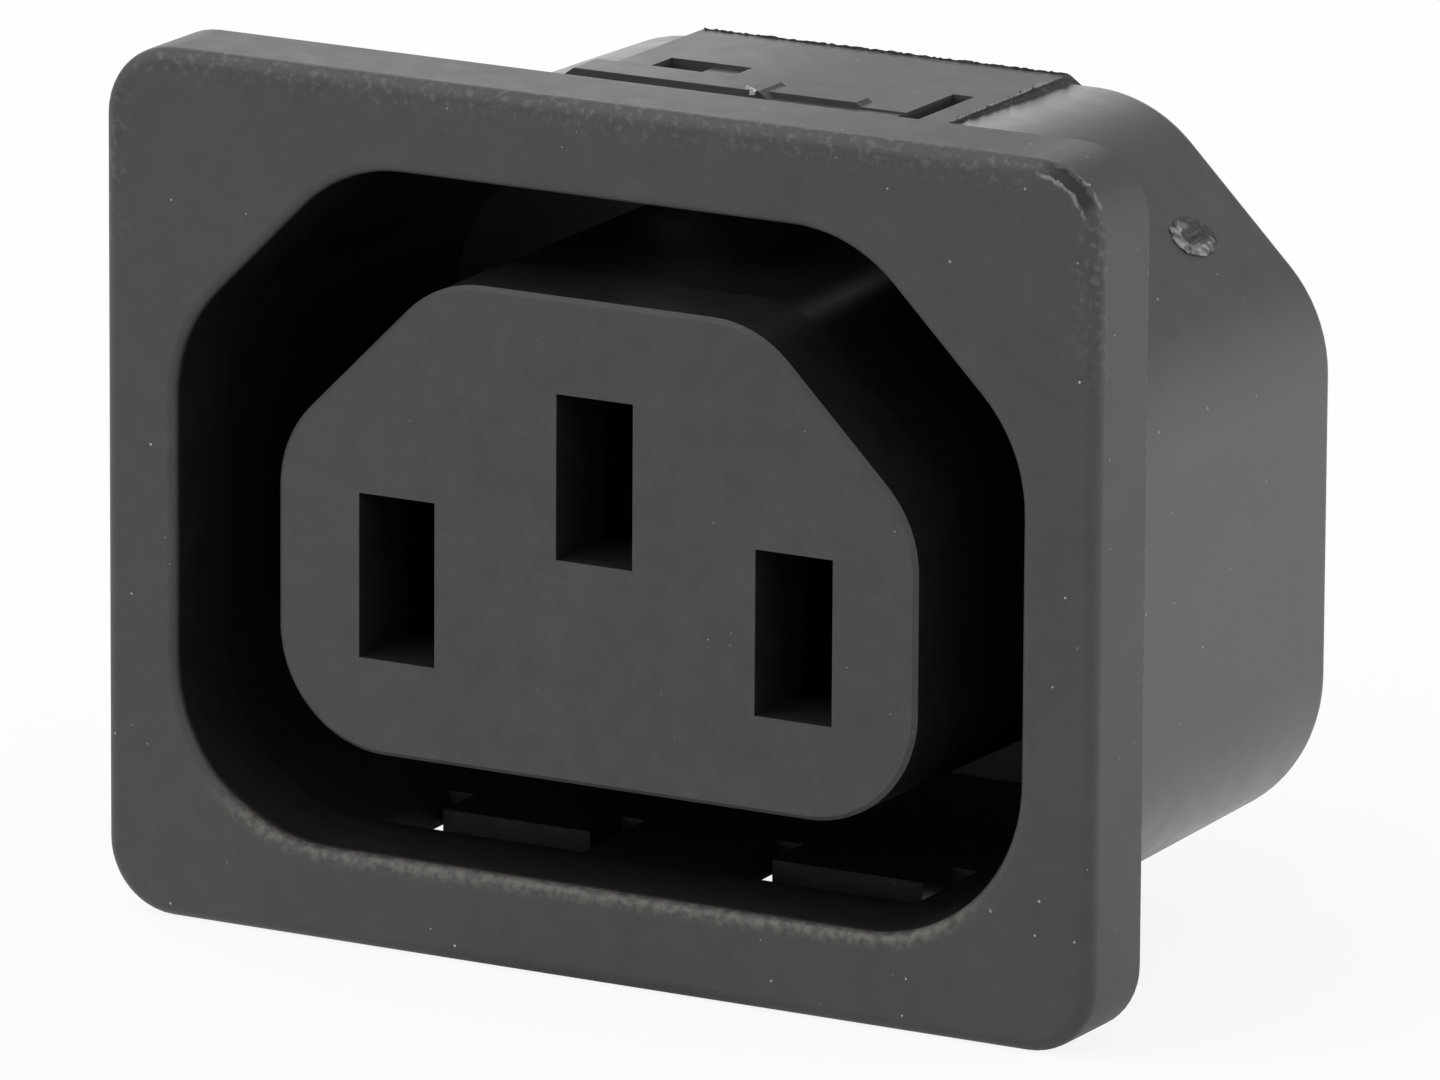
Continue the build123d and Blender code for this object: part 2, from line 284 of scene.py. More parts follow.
# Noise scale and detail, and what each noise moves.
GRAIN = (9000.0, 3.0)
MOTTLE = (1100.0, 3.0)
CLOUD = (260.0, 2.0)
HIGHLIGHT_FLECKS = (3600.0, 3.0)
TEARS = (3500.0, 2.0)
GRAIN_TONE, MOTTLE_TONE, CLOUD_TONE = 0.36, 0.46, 0.30
MOTTLE_ROUGHNESS = 0.16
TEAR_SWING = 0.9 * MM

# Painted highlights and shade on edges: where they start and end, how much of the noise shows, and their
# strength.
EDGE_BAND = (1.3 * MM, 0.2 * MM)
EDGE_DEPTH = (0.8 * MM, 0.3 * MM)
EDGE_RISE = (4.0 * MM, 12.5 * MM)
REAR_EDGE_DEPTH = (3.08 * MM, 3.14 * MM)
REAR_EDGE_BAND = 0.2 * MM
EDGE_HIGHLIGHT_CUT, EDGE_HIGHLIGHT_SHARE = (0.50, 0.68), 0.55
LIP_BAND = (0.60 * MM, 0.22 * MM)
LIP_INNER = -0.05 * MM
LIP_CUT, LIP_SHARE = (0.34, 0.64), 0.8
CORNER_SHADE_RAGGED = 0.28
CORNER_SHADE_START = (0.01 * MM, 0.05 * MM)
CORNER_SHADE_END = 0.31 * MM
CORNER_SHADE_DEPTH = 0.47 * MM
CORNER_SHADE_TURN = ((0.30, 0.40), (0.92, 0.72))
TURN_FLOOR = 0.01 * MM
CORNER_HIGHLIGHT_END = (0.50 * MM, 0.40 * MM)
CORNER_HIGHLIGHT_TURN = ((0.22, 0.34), (0.98, 0.86))
CORNER_HIGHLIGHT_CUT, CORNER_HIGHLIGHT_SHARE = (0.36, 0.56), 0.85
RIM_HIGHLIGHT_BAND = 0.06 * MM
RIM_HIGHLIGHT_DEPTH = ((0.34 * MM, 0.42 * MM), (0.62 * MM, 0.54 * MM))
RIM_HIGHLIGHT_TURN = ((0.28, 0.36), (0.62, 0.54))

# Dust: scale of the cells, radius of the specks, and share of the cells with one.
LARGE_SPECKS = (900.0, 0.045 * MM, 0.7)
SMALL_SPECKS = (1500.0, 0.030 * MM, 0.7)
SMALLEST_SPECK = 0.4

BODY_ROUGHNESS = 0.36
PLATE_DULLER = 0.14
PAD_DULLER, PAD_RIGHT_DULLER = 0.09, 0.12
PAD_DULL_REACH = (-6.0 * MM, 0.5 * MM)
TOP_RIGHT_DULLER = 0.11
TOP_RIGHT_REACH = ((0.0, 14.0 * MM), (16.2 * MM, 14.2 * MM))
TOP_LEVEL = (13.4 * MM, 13.88 * MM)
TOP_FRONT = 0.3 * MM
DUST_DULLER = 0.3
GRAIN_DEPTH = 0.02 * MM
GRAIN_ON_BODY, GRAIN_ON_PLATE = 0.06, 0.32

FACE_COLOUR = (0.052, 0.0465, 0.0475, 1.0)
BODY_COLOUR = (0.054, 0.053, 0.056, 1.0)
CAVITY_SHADE_COLOUR = (0.0105, 0.0105, 0.0105, 1.0)
WINDOW_SHADE_COLOUR = (0.018, 0.018, 0.018, 1.0)
CREVICE_SHADE_COLOUR = (0.010, 0.010, 0.011, 1.0)
EDGE_HIGHLIGHT_COLOUR = (0.135, 0.126, 0.122, 1.0)
LIP_HIGHLIGHT_COLOUR = (0.125, 0.117, 0.100, 1.0)
CORNER_HIGHLIGHT_COLOUR = (0.19, 0.18, 0.175, 1.0)
DUST_COLOUR = (0.42, 0.41, 0.40, 1.0)


def noise_node(tree, coords, scale, detail):
    """Grey noise on Object coordinates, centred on 0.5."""
    node = tree.nodes.new("ShaderNodeTexNoise")
    node.inputs["Scale"].default_value = scale
    node.inputs["Detail"].default_value = detail
    tree.links.new(coords, node.inputs["Vector"])
    return node.outputs["Fac"]


def sway(tree, base, noise_value, swing):
    """The base, moved up and down by noise over the whole of the swing."""
    lowest = calculate(tree, "SUBTRACT", base, swing / 2)
    return calculate(tree, "MULTIPLY_ADD", noise_value, swing, lowest)


def above(tree, value, bound):
    """1 where the value is above the bound, 0 elsewhere."""
    return calculate(tree, "GREATER_THAN", value, bound)


def below(tree, value, bound):
    """1 where the value is below the bound, 0 elsewhere."""
    return calculate(tree, "LESS_THAN", value, bound)


def band(tree, value, rise, fall):
    """1 in a band of values, with a soft start and a soft end."""
    return product(tree, fade(tree, value, *rise), fade(tree, value, *fall))


def past(tree, value, bound):
    """How far the value is past the bound, and 0 before it."""
    return calculate(tree, "MAXIMUM", calculate(tree, "SUBTRACT", value, bound), 0.0)


def blend_colour(tree, share, first, second):
    """Colour that goes from the first to the second as share goes from 0 to 1."""
    node = tree.nodes.new("ShaderNodeMix")
    node.data_type = "RGBA"
    feed(tree, node.inputs["Factor"], share)
    feed(tree, node.inputs["A"], first)
    feed(tree, node.inputs["B"], second)
    return node.outputs["Result"]


def dust_specks(tree, coords, scale, radius, share):
    """Sparse round specks, faint to full: one in each cell of a share of the cells."""
    cells = tree.nodes.new("ShaderNodeTexVoronoi")
    cells.inputs["Scale"].default_value = scale
    tree.links.new(coords, cells.inputs["Vector"])
    pick = tree.nodes.new("ShaderNodeSeparateColor")
    tree.links.new(cells.outputs["Color"], pick.inputs[0])
    reach = radius * scale
    reach = calculate(tree, "MULTIPLY_ADD", pick.outputs[1], reach, SMALLEST_SPECK * reach)
    near = below(tree, cells.outputs["Distance"], reach)
    return product(tree, near, below(tree, pick.outputs[0], share), pick.outputs[2])


def coat(tree, output, colour, roughness, metallic=0.0):
    """Surface of a material; a value that is a number is set on its own socket."""
    shader = tree.nodes.new("ShaderNodeBsdfPrincipled")
    shader.inputs["Metallic"].default_value = metallic
    feed(tree, shader.inputs["Base Color"], colour)
    feed(tree, shader.inputs["Roughness"], roughness)
    tree.links.new(shader.outputs[0], output.inputs["Surface"])
    return shader


def emboss(tree, shader, height, depth, strength):
    """Fine relief on a surface; the strength is a number or a node's output."""
    bump = tree.nodes.new("ShaderNodeBump")
    bump.inputs["Distance"].default_value = depth
    feed(tree, bump.inputs["Strength"], strength)
    tree.links.new(height, bump.inputs["Height"])
    tree.links.new(bump.outputs["Normal"], shader.inputs["Normal"])


housing_material, tree, output = link_material("moulded_black")
coords = place_of(tree)
x, y, z = axes_of(tree, coords)
across = calculate(tree, "ABSOLUTE", x)
up = calculate(tree, "ABSOLUTE", z)
down = calculate(tree, "MULTIPLY", z, -1.0)
grain = noise_node(tree, coords, *GRAIN)
mottle = noise_node(tree, coords, *MOTTLE)
cloud = noise_node(tree, coords, *CLOUD)
highlight_flecks = noise_node(tree, coords, *HIGHLIGHT_FLECKS)
jagged = sway(tree, 0.0, noise_node(tree, coords, *TEARS), TEAR_SWING)
on_plate = below(tree, y, PLATE_DEPTH)
colour = blend_colour(tree, on_plate, BODY_COLOUR, FACE_COLOUR)

# How far a point lies outside the cavity's wall; inside it is negative.
past_side = past(tree, across, CAVITY_HALF_WIDTH - CAVITY_BOTTOM_RADIUS)
past_floor = past(tree, down, CAVITY_HALF_HEIGHT - CAVITY_BOTTOM_RADIUS)
low_gap = calculate(tree, "SUBTRACT", length_of(tree, past_side, past_floor), CAVITY_BOTTOM_RADIUS)
top_gap = calculate(tree, "SUBTRACT", z, CAVITY_HALF_HEIGHT)
diagonal = calculate(tree, "MULTIPLY", calculate(tree, "ADD", across, z), math.sqrt(0.5))
corner_gap = calculate(tree, "SUBTRACT", diagonal, CAVITY_CUT)
gap = calculate(tree, "MAXIMUM", calculate(tree, "MAXIMUM", low_gap, top_gap), corner_gap)
gap = calculate(tree, "MULTIPLY_ADD", y, CAVITY_DRAFT, gap)

# Painted shade in the cavity and slots, behind the lip's rounding, but not on the core's face.
low = fade(tree, z, *LOW_LIP)
shade_start = calculate(tree, "MULTIPLY_ADD", low, SHADE_LOW_SHIFT, SHADE_START)
shade_end = calculate(tree, "ADD", shade_start, SHADE_SPAN)
near_wall = calculate(tree, "MULTIPLY", below(tree, y, LIP_RADIUS), LIP_RADIUS)
inside = below(tree, gap, calculate(tree, "ADD", near_wall, CAVITY_SKIN))
off_core = calculate(tree, "SUBTRACT", 1.0, below(tree, gap, CORE_GAP))
off_core_face = calculate(tree, "MAXIMUM", off_core, above(tree, y, CORE_EDGE))
cavity_shade = product(tree, fade(tree, y, shade_start, shade_end), below(tree, y, CAVITY_DEPTH),
                    inside, off_core_face)
slot_shade = 0.0
for slot_x, slot_z in SLOT_PLACES:
    from_x = calculate(tree, "ABSOLUTE", calculate(tree, "SUBTRACT", x, slot_x))
    from_z = calculate(tree, "ABSOLUTE", calculate(tree, "SUBTRACT", z, slot_z))
    within = product(tree, below(tree, from_x, SLOT_HALF[0]), below(tree, from_z, SLOT_HALF[1]))
    slot_shade = calculate(tree, "MAXIMUM", within, slot_shade)
slot_shade = product(tree, slot_shade, above(tree, y, SLOT_DEPTH), below(tree, y, CAVITY_DEPTH))
cavity_shade = calculate(tree, "MAXIMUM", cavity_shade, slot_shade)

# Painted highlights: pale flecks along the plate's edges, stronger towards the top, and a pale band on the
# lower lip's rounding.
edge_side = calculate(tree, "SUBTRACT", PLATE_HALF_WIDTH, across)
edge_top = calculate(tree, "SUBTRACT", PLATE_HALF_HEIGHT, up)
edge = calculate(tree, "MINIMUM", edge_side, edge_top)
front_edge = product(tree, fade(tree, edge, *EDGE_BAND), fade(tree, y, *EDGE_DEPTH),
                     fade(tree, z, *EDGE_RISE))
rear_edge = product(tree, fade(tree, y, *REAR_EDGE_DEPTH), below(tree, edge, REAR_EDGE_BAND))
edge_highlight = calculate(tree, "MAXIMUM", front_edge, rear_edge)
edge_highlight = product(tree, edge_highlight, fade(tree, highlight_flecks, *EDGE_HIGHLIGHT_CUT), EDGE_HIGHLIGHT_SHARE)
colour = blend_colour(tree, edge_highlight, colour, EDGE_HIGHLIGHT_COLOUR)
# Painted highlight: a pale band on the lower lip's rounding.
lip_highlight = product(tree, below(tree, y, LIP_RADIUS), fade(tree, gap, *LIP_BAND), above(tree, gap, LIP_INNER),
              low, fade(tree, highlight_flecks, *LIP_CUT), LIP_SHARE)
colour = blend_colour(tree, lip_highlight, colour, LIP_HIGHLIGHT_COLOUR)

# Rounded corner: painted shade makes a dark band round the plate's upper right
# corner, with a painted highlight on its inner side and a thin one on the
# corner's outer rim.
past_x = past(tree, x, PLATE_HALF_WIDTH - PLATE_CORNER_RADIUS)
past_z = past(tree, z, PLATE_HALF_HEIGHT - PLATE_CORNER_RADIUS)
inward = calculate(tree, "SUBTRACT", PLATE_CORNER_RADIUS, length_of(tree, past_x, past_z))
torn_inward = calculate(tree, "MULTIPLY_ADD", jagged, CORNER_SHADE_RAGGED, inward)
turned = calculate(tree, "ADD", calculate(tree, "ADD", past_x, past_z), TURN_FLOOR)
turned = calculate(tree, "DIVIDE", past_z, turned)
corner_shade = product(tree, fade(tree, torn_inward, *CORNER_SHADE_START), below(tree, torn_inward, CORNER_SHADE_END),
                 band(tree, turned, *CORNER_SHADE_TURN), below(tree, y, CORNER_SHADE_DEPTH))
corner_highlight = product(tree, above(tree, torn_inward, CORNER_SHADE_END), fade(tree, torn_inward, *CORNER_HIGHLIGHT_END),
               band(tree, turned, *CORNER_HIGHLIGHT_TURN))
# Painted highlight: a thin band along the corner's outer rim.
rim = product(tree, below(tree, inward, RIM_HIGHLIGHT_BAND), band(tree, y, *RIM_HIGHLIGHT_DEPTH), band(tree, turned, *RIM_HIGHLIGHT_TURN))
corner_highlight = product(tree, calculate(tree, "MAXIMUM", corner_highlight, rim), fade(tree, highlight_flecks, *CORNER_HIGHLIGHT_CUT), CORNER_HIGHLIGHT_SHARE)
colour = blend_colour(tree, corner_highlight, colour, CORNER_HIGHLIGHT_COLOUR)
# Painted shade: the dark band round the corner.
colour = blend_colour(tree, corner_shade, colour, CREVICE_SHADE_COLOUR)

# Painted shade in the crevices at the foot of the pad's right side and along its rear edge.
foot_x = calculate(tree, "ADD", x, jagged)
rear_y = calculate(tree, "ADD", y, jagged)
foot = product(tree, above(tree, foot_x, PAD_FOOT[0]), below(tree, foot_x, PAD_FOOT[1]),
               above(tree, y, PAD_FRONT))
rear = product(tree, above(tree, rear_y, PAD_REAR[0]), below(tree, rear_y, PAD_REAR[1]),
               above(tree, x, PAD_SIDES[0]), below(tree, x, PAD_SIDES[1]))
crevice_shade = product(tree, calculate(tree, "MAXIMUM", foot, rear), above(tree, z, PAD_SHADE_LEVEL))
colour = blend_colour(tree, crevice_shade, colour, CREVICE_SHADE_COLOUR)
# Painted shade: the cavity and slots are darkened nearly to black.
colour = blend_colour(tree, cavity_shade, colour, CAVITY_SHADE_COLOUR)
# Painted shade on the surfaces in the window below the cavity.
window_shade = product(tree, above(tree, gap, CAVITY_SKIN), below(tree, gap, WINDOW_REACH),
                    above(tree, y, WINDOW_START), below(tree, z, WINDOW_TOP))
colour = blend_colour(tree, window_shade, colour, WINDOW_SHADE_COLOUR)

dust = calculate(tree, "MAXIMUM", dust_specks(tree, coords, *LARGE_SPECKS),
                 dust_specks(tree, coords, *SMALL_SPECKS))
dust = product(tree, dust, calculate(tree, "SUBTRACT", 1.0, cavity_shade))
tone = tree.nodes.new("ShaderNodeHueSaturation")
value = sway(tree, 1.0, mottle, MOTTLE_TONE)
value = sway(tree, value, cloud, CLOUD_TONE)
value = sway(tree, value, grain, GRAIN_TONE)
tree.links.new(value, tone.inputs["Value"])
tree.links.new(colour, tone.inputs["Color"])
colour = blend_colour(tree, dust, tone.outputs["Color"], DUST_COLOUR)

# The plate is duller than the body, and the pad and the plate's top get duller
# to the right.
rough = calculate(tree, "MULTIPLY_ADD", on_plate, PLATE_DULLER, BODY_ROUGHNESS)
rough = sway(tree, rough, mottle, MOTTLE_ROUGHNESS)
on_pad = product(tree, fade(tree, z, *PAD_LEVEL), above(tree, y, PAD_FRONT),
                 above(tree, x, PAD_SIDES[0] - PAD_SLOPE), below(tree, x, PAD_SIDES[1]))
pad_rough = calculate(tree, "MULTIPLY_ADD", fade(tree, x, *PAD_DULL_REACH), PAD_RIGHT_DULLER, PAD_DULLER)
rough = calculate(tree, "MULTIPLY_ADD", on_pad, pad_rough, rough)
top_right = product(tree, band(tree, x, *TOP_RIGHT_REACH), fade(tree, z, *TOP_LEVEL),
                    above(tree, y, TOP_FRONT))
rough = calculate(tree, "MULTIPLY_ADD", top_right, TOP_RIGHT_DULLER, rough)
rough = calculate(tree, "MULTIPLY_ADD", dust, DUST_DULLER, rough)
plastic = coat(tree, output, colour, rough)
relief = calculate(tree, "MULTIPLY_ADD", on_plate, GRAIN_ON_PLATE, GRAIN_ON_BODY)
emboss(tree, plastic, calculate(tree, "ADD", grain, dust), GRAIN_DEPTH, relief)


def finish_node(name, material):
    """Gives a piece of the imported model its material."""
    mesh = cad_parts[name].data
    mesh.materials.clear()
    mesh.materials.append(material)


finish_node("housing", housing_material)

# Gate scar: the housing's own plastic, torn where the sprue was twisted off, over
# the dimple on the cut upper right corner. Its light rim is highest at the lower
# left; the gouge behind it is darkened by painted shade.
SCAR_CENTRE = Vector((12.66, 15.25, 8.19)) * MM
SCAR_HALF = (0.76 * MM, 1.22 * MM)
SCAR_SHIFT = 0.06 * MM
CORNER_OUT = Vector((1.0, 0.03, 1.0)).normalized()
CORNER_DOWN = Vector((1.0, 0.0, -1.0)).normalized()
SCAR_RINGS = 15
SCAR_SEGMENTS = 64
OUTER_RING = 0.97
SCAR_SUNK_EDGE = -0.04 * MM
SCAR_FLOOR = 0.022 * MM
CREST_RING = 0.74
CREST_WIDTH = 0.17
CREST_HEIGHT = 0.13 * MM
CREST_LOWEST = 0.04
CREST_MIDDLE = 0.42
CREST_LEAN = Vector((0.45, -0.90)) * 0.62
TEARS_ROUND = 3.0
TEARS_IN_HEIGHT, TEARS_IN_RING, TEARS_IN_WIDTH = 0.45, 0.6, 0.16
GOUGE_DEPTH = 0.10 * MM
GOUGE_STEEPNESS = 1.7
DIMPLE_RADIUS = 0.6 * MM
SCAR_ROUGHENING = (0.028 * MM, 0.16 * MM)
SCAR_SEED = 11
TORN = (4200.0, 4.0)
TORN_CUT = (0.42, 0.68)
TORN_ROUGHNESS, TORN_ROUGHER = 0.2, 0.4
GOUGE_EDGE = (0.055 * MM, 0.095 * MM)
GOUGE_RAGGED = 0.06 * MM
TORN_COLOURS = ((0.085, 0.083, 0.083, 1.0), (0.30, 0.29, 0.29, 1.0))
GOUGE_SHADE_COLOUR = (0.020, 0.020, 0.020, 1.0)

torn_material, tree, output = link_material("torn_plastic")
coords = place_of(tree)
torn = noise_node(tree, coords, *TORN)
stand = calculate(tree, "SUBTRACT", reach_along(tree, coords, CORNER_OUT), CORNER_OUT.dot(SCAR_CENTRE))
stand = calculate(tree, "MULTIPLY_ADD", torn, GOUGE_RAGGED, stand)
crest_colour = blend_colour(tree, fade(tree, torn, *TORN_CUT), *TORN_COLOURS)
# Painted shade: the gouge below the scar's plane is darker.
colour = blend_colour(tree, fade(tree, stand, *GOUGE_EDGE), GOUGE_SHADE_COLOUR, crest_colour)
coat(tree, output, colour, calculate(tree, "MULTIPLY_ADD", torn, TORN_ROUGHER, TORN_ROUGHNESS))


def finish_piece(name, bm, material):
    """Turns a bmesh into a piece of the housing's own plastic."""
    bmesh.ops.recalc_face_normals(bm, faces=bm.faces)
    mesh = bpy.data.meshes.new(name)
    bm.to_mesh(mesh)
    bm.free()
    mesh.materials.append(material)
    piece = bpy.data.objects.new(name, mesh)
    scene.collection.objects.link(piece)
    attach(piece, "root")
    return piece


def tears_at(reach):
    """Smooth noise round the scar, from -1 to 1, the same in every run."""
    return noise.noise(Vector((TEARS_ROUND * reach.x, TEARS_ROUND * reach.y, 0.0)))


def scar_spot(reach, radius, tears):
    """Place on the scar's plane at a share of its radius."""
    spot = Vector((reach.x * radius * SCAR_HALF[0], reach.y * radius * SCAR_HALF[1] + SCAR_SHIFT))
    return spot * (1.0 + TEARS_IN_WIDTH * tears)


bm = bmesh.new()
rim = bmesh.ops.create_circle(bm, segments=SCAR_SEGMENTS, radius=1.0)["verts"]
edges = list(bm.edges)
for step in range(SCAR_RINGS):
    radius = OUTER_RING * (1.0 - step / SCAR_RINGS)
    grown = bmesh.ops.extrude_edge_only(bm, edges=edges)["geom"]
    edges = [item for item in grown if isinstance(item, bmesh.types.BMEdge)]
    for vert in (item for item in grown if isinstance(item, bmesh.types.BMVert)):
        reach = Vector((vert.co.x, vert.co.y)).normalized()
        tears = tears_at(reach)
        crest = math.exp(-(((radius - CREST_RING) / CREST_WIDTH - TEARS_IN_RING * tears) ** 2))
        lift = max(CREST_LOWEST, CREST_MIDDLE + reach.dot(CREST_LEAN) + TEARS_IN_HEIGHT * tears)
        spot = scar_spot(reach, radius, tears)
        sunk = min(1.0, max(0.0, GOUGE_STEEPNESS * (1.0 - spot.length / DIMPLE_RADIUS)))
        height = SCAR_FLOOR + CREST_HEIGHT * crest * lift - GOUGE_DEPTH * sunk * (1.0 - crest)
        vert.co = spot.to_3d() + Vector((0.0, 0.0, height))
for vert in rim:
    reach = Vector((vert.co.x, vert.co.y)).normalized()
    vert.co = scar_spot(reach, 1.0, tears_at(reach)).to_3d() + Vector((0.0, 0.0, SCAR_SUNK_EDGE))
bmesh.ops.contextual_create(bm, geom=edges)
noise.seed_set(SCAR_SEED)  # without a seed noise_vector differs from run to run
for vert in bm.verts:
    vert.co += noise.noise_vector(vert.co / SCAR_ROUGHENING[1]) * SCAR_ROUGHENING[0]
scar_frame = Matrix((CORNER_DOWN, CORNER_OUT.cross(CORNER_DOWN), CORNER_OUT)).transposed().to_4x4()
bmesh.ops.transform(bm, matrix=Matrix.Translation(SCAR_CENTRE) @ scar_frame, verts=bm.verts)
finish_piece("gate_scar", bm, torn_material)

# Flash on top: thin ragged slivers of the housing's plastic, squeezed out where
# the mould's halves met, along the pad's right edge and rear edge, and a pale
# curl of it at the right end of the rib.
PAD_TOP = 11.785 * MM
FOOT_FLASH = (Vector((6.16, 10.75, 11.70)) * MM, Vector((6.16, 19.30, 11.70)) * MM)
REAR_FLASH = (Vector((-6.95, 19.32, 11.70)) * MM, Vector((6.05, 19.32, 11.70)) * MM)
FLASH_STEPS = 120
FLASH_THICKNESS = 0.035 * MM
FLASH_LEAN = 0.8
FOOT_HEIGHT, FOOT_TORN_HEIGHT, FOOT_JITTER = 0.07 * MM, 0.20 * MM, 0.05 * MM
FOOT_TEARS, FOOT_TEAR_LEVEL = 0.9, 0.28
FOOT_TEAR_STEP, FOOT_TEAR_ROW = 0.16, 3.7
REAR_HEIGHT, REAR_JITTER = 0.11 * MM, 0.055 * MM
CURL_CENTRE = Vector((-1.02, 11.40, 11.99)) * MM
CURL_SIZE = (0.05 * MM, 0.13 * MM)
CURL_RADIUS = 0.27 * MM
CURL_AXIS = (0.0, 0.3, 1.0)
CURL_RISE = 0.005 * MM
CURL_SWEEP = math.radians(165)
CURL_TURN = math.radians(-35)
CURL_STEPS = 20
PATCHES = (3000.0, 2.0)
PATCH_CUT = (0.34, 0.48)
TIP_RISE = 0.05 * MM
TIP_REAR_END = 18.6 * MM
FLASH_ROUGHNESS = 0.4
FLASH_COLOUR = (0.095, 0.093, 0.093, 1.0)
FLASH_TIP_COLOUR = (0.55, 0.54, 0.53, 1.0)
ORIGIN = (0.0, 0.0, 0.0)
draw = random.Random(11)

flash_material, tree, output = link_material("moulding_flash")
coords = place_of(tree)
x, y, z = axes_of(tree, coords)
patchy = fade(tree, noise_node(tree, coords, *PATCHES), *PATCH_CUT)
patchy = calculate(tree, "MAXIMUM", patchy, below(tree, x, 0.0))
tip = product(tree, fade(tree, z, PAD_TOP, PAD_TOP + TIP_RISE), patchy, below(tree, y, TIP_REAR_END))
coat(tree, output, blend_colour(tree, tip, FLASH_COLOUR, FLASH_TIP_COLOUR), FLASH_ROUGHNESS)


def ragged_sliver(bm, start, end, heights):
    """Thin upright strip between two points, with one height for each step along it."""
    along = end - start
    across = Vector((0.0, 0.0, 1.0)).cross(along).normalized() * FLASH_THICKNESS
    root = [bm.verts.new(start + along * (step / (len(heights) - 1))) for step in range(len(heights))]
    edges = [bm.edges.new(pair) for pair in zip(root, root[1:])]
    grown = bmesh.ops.extrude_edge_only(bm, edges=edges)["geom"]
    tops = [item for item in grown if isinstance(item, bmesh.types.BMVert)]
    tops.sort(key=lambda vert: (vert.co - start).dot(along))
    for vert, height in zip(tops, heights):
        vert.co += Vector((0.0, 0.0, height)) + across * draw.uniform(-FLASH_LEAN, FLASH_LEAN)
    bmesh.ops.solidify(bm, geom=bm.faces[:], thickness=FLASH_THICKNESS)


bm = bmesh.new()
heights = []
for step in range(FLASH_STEPS):
    wave = noise.noise(Vector((FOOT_TEAR_STEP * step, FOOT_TEAR_ROW, 0.0)))
    torn_up = max(0.0, FOOT_TEARS * wave + FOOT_TEAR_LEVEL)
    heights.append(FOOT_HEIGHT + FOOT_TORN_HEIGHT * torn_up + FOOT_JITTER * draw.random())
ragged_sliver(bm, *FOOT_FLASH, heights)
finish_piece("pad_side_flash", bm, flash_material)

bm = bmesh.new()
heights = [REAR_HEIGHT + REAR_JITTER * draw.random() for step in range(FLASH_STEPS)]
ragged_sliver(bm, *REAR_FLASH, heights)
finish_piece("pad_rear_flash", bm, flash_material)

bm = bmesh.new()
seed = bmesh.ops.create_grid(bm, x_segments=1, y_segments=1, size=0.5)["verts"]
bmesh.ops.scale(bm, vec=(*CURL_SIZE, 1.0), verts=seed)
bmesh.ops.rotate(bm, cent=ORIGIN, matrix=Matrix.Rotation(math.radians(90), 3, "X"), verts=seed)
bmesh.ops.translate(bm, vec=(CURL_RADIUS, 0.0, 0.0), verts=seed)
bmesh.ops.spin(bm, geom=bm.verts[:] + bm.edges[:] + bm.faces[:], cent=ORIGIN, axis=CURL_AXIS,
               dvec=(0.0, 0.0, CURL_RISE), angle=CURL_SWEEP, steps=CURL_STEPS)
bmesh.ops.rotate(bm, cent=ORIGIN, matrix=Matrix.Rotation(CURL_TURN, 3, "Z"), verts=bm.verts)
bmesh.ops.translate(bm, vec=CURL_CENTRE, verts=bm.verts)
finish_piece("rib_end_curl", bm, flash_material)

# Rear cover: a satin black plate of the same plastic in the back wall, riveted
# over by the housing's own heat stakes, with the three tabs standing through it.
BODY_DEPTH = 19.45 * MM
STAKE_PLACES = ((0.0, -4.8 * MM), (-4.6 * MM, 3.7 * MM), (4.6 * MM, 3.7 * MM))
STAKE_STEPS = 40
STAKE_MERGE = 0.001 * MM
STAKE_PROFILE = [
    # radius and height in mm
    (1.37, 0.0), (1.36, 0.40), (1.25, 0.58), (1.00, 0.66), (0.62, 0.66), (0.45, 0.60), (0.0, 0.58),
]
COVER_GRAIN = (6000.0, 3.0)
COVER_CLOUD = (700.0, 2.0)
CLOUD_SHARE = 0.4
COVER_CUT = (0.35, 0.65)
COVER_ROUGHNESS, CLOUD_ROUGHER = 0.3, 0.3
COVER_SPECKS = (620.0, 0.045 * MM, 0.2)
COVER_RELIEF = (0.015 * MM, 0.25)
COVER_COLOURS = ((0.034, 0.034, 0.035, 1.0), (0.060, 0.060, 0.062, 1.0))

cover_material, tree, output = link_material("cover_black")
coords = place_of(tree)
grain = noise_node(tree, coords, *COVER_GRAIN)
cloud = noise_node(tree, coords, *COVER_CLOUD)
mixed = calculate(tree, "MULTIPLY", grain, 1.0 - CLOUD_SHARE)
mixed = calculate(tree, "MULTIPLY_ADD", cloud, CLOUD_SHARE, mixed)
colour = blend_colour(tree, fade(tree, mixed, *COVER_CUT), *COVER_COLOURS)
colour = blend_colour(tree, dust_specks(tree, coords, *COVER_SPECKS), colour, DUST_COLOUR)
rough = calculate(tree, "MULTIPLY_ADD", cloud, CLOUD_ROUGHER, COVER_ROUGHNESS)
emboss(tree, coat(tree, output, colour, rough), grain, *COVER_RELIEF)
finish_node("rear_cover", cover_material)

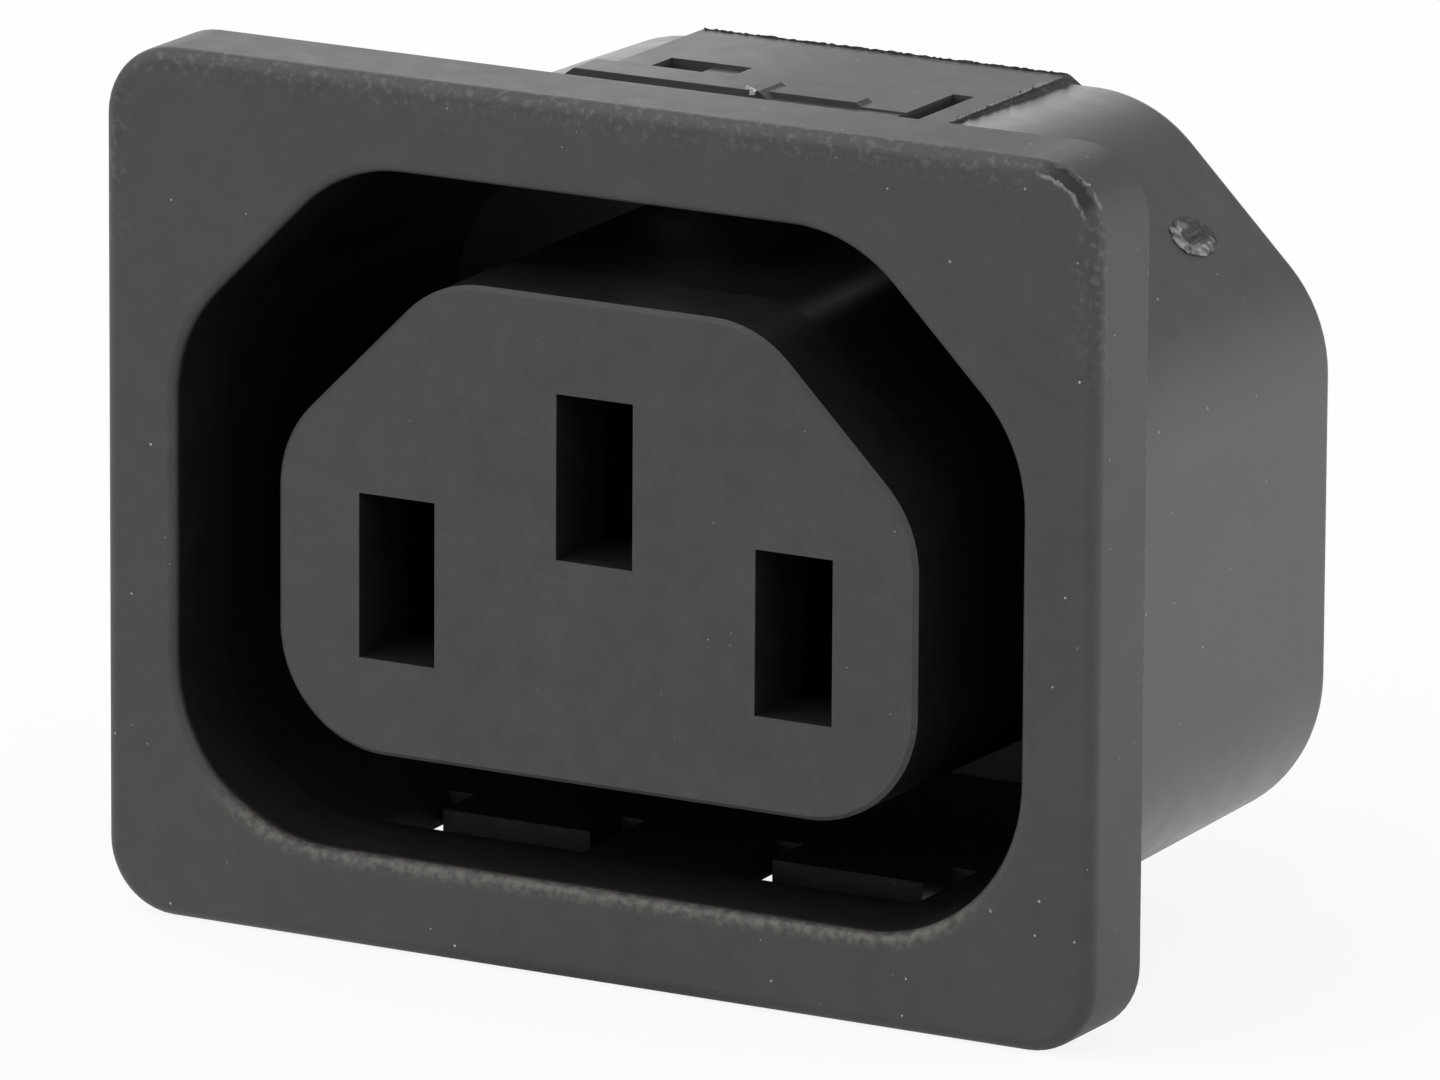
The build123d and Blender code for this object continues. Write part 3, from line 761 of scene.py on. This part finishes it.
for number, (stake_x, stake_z) in enumerate(STAKE_PLACES, start=1):
    bm = bmesh.new()
    profile = [bm.verts.new((radius * MM, height * MM, 0.0)) for radius, height in STAKE_PROFILE]
    edges = [bm.edges.new(pair) for pair in zip(profile, profile[1:])]
    bmesh.ops.spin(bm, geom=profile + edges, cent=ORIGIN, axis=(0.0, 1.0, 0.0), angle=math.tau,
                   steps=STAKE_STEPS, use_merge=True)
    bmesh.ops.remove_doubles(bm, verts=bm.verts, dist=STAKE_MERGE)
    bmesh.ops.translate(bm, vec=(stake_x, BODY_DEPTH, stake_z), verts=bm.verts)
    head = finish_piece(f"stake_head_{number}", bm, cover_material)
    head.data.polygons.foreach_set("use_smooth", [True] * len(head.data.polygons))

# Contacts: spring brass strip, folded double at the tab and held in the core by
# the rear cover. It is bright from the press, with faint rolling lines along its
# length, and dull inside the core, where it is also darkened by painted shade.
ROLLING_SCALE = (4000.0, 250.0, 4000.0)
ROLLING = (1.0, 4.0)
STAIN = (420.0, 3.0)
STAIN_CUT = (0.55, 0.85)
DULL_SHADE_REACH = (17.0 * MM, 13.0 * MM)
BRASS_ROUGHNESS, DULL_ROUGHER, LINES_ROUGHER = 0.32, 0.2, 0.2
BRASS_COLOURS = ((0.70, 0.52, 0.24, 1.0), (0.82, 0.64, 0.33, 1.0))
STAINED_BRASS = (0.55, 0.38, 0.16, 1.0)
SHADED_BRASS = (0.05, 0.036, 0.014, 1.0)

brass_material, tree, output = link_material("rolled_brass")
coords = place_of(tree)
stretch = tree.nodes.new("ShaderNodeMapping")
stretch.inputs["Scale"].default_value = ROLLING_SCALE
tree.links.new(coords, stretch.inputs["Vector"])
lines = noise_node(tree, stretch.outputs["Vector"], *ROLLING)
stain = fade(tree, noise_node(tree, coords, *STAIN), *STAIN_CUT)
dull_and_shaded = fade(tree, axes_of(tree, coords)["Y"], *DULL_SHADE_REACH)
colour = blend_colour(tree, stain, blend_colour(tree, lines, *BRASS_COLOURS), STAINED_BRASS)
colour = blend_colour(tree, dull_and_shaded, colour, SHADED_BRASS)
rough = calculate(tree, "MULTIPLY_ADD", dull_and_shaded, DULL_ROUGHER, BRASS_ROUGHNESS)
rough = calculate(tree, "MULTIPLY_ADD", lines, LINES_ROUGHER, rough)
coat(tree, output, colour, rough, metallic=1.0)
for name in ("contact_line", "contact_neutral", "contact_earth"):
    finish_node(name, brass_material)
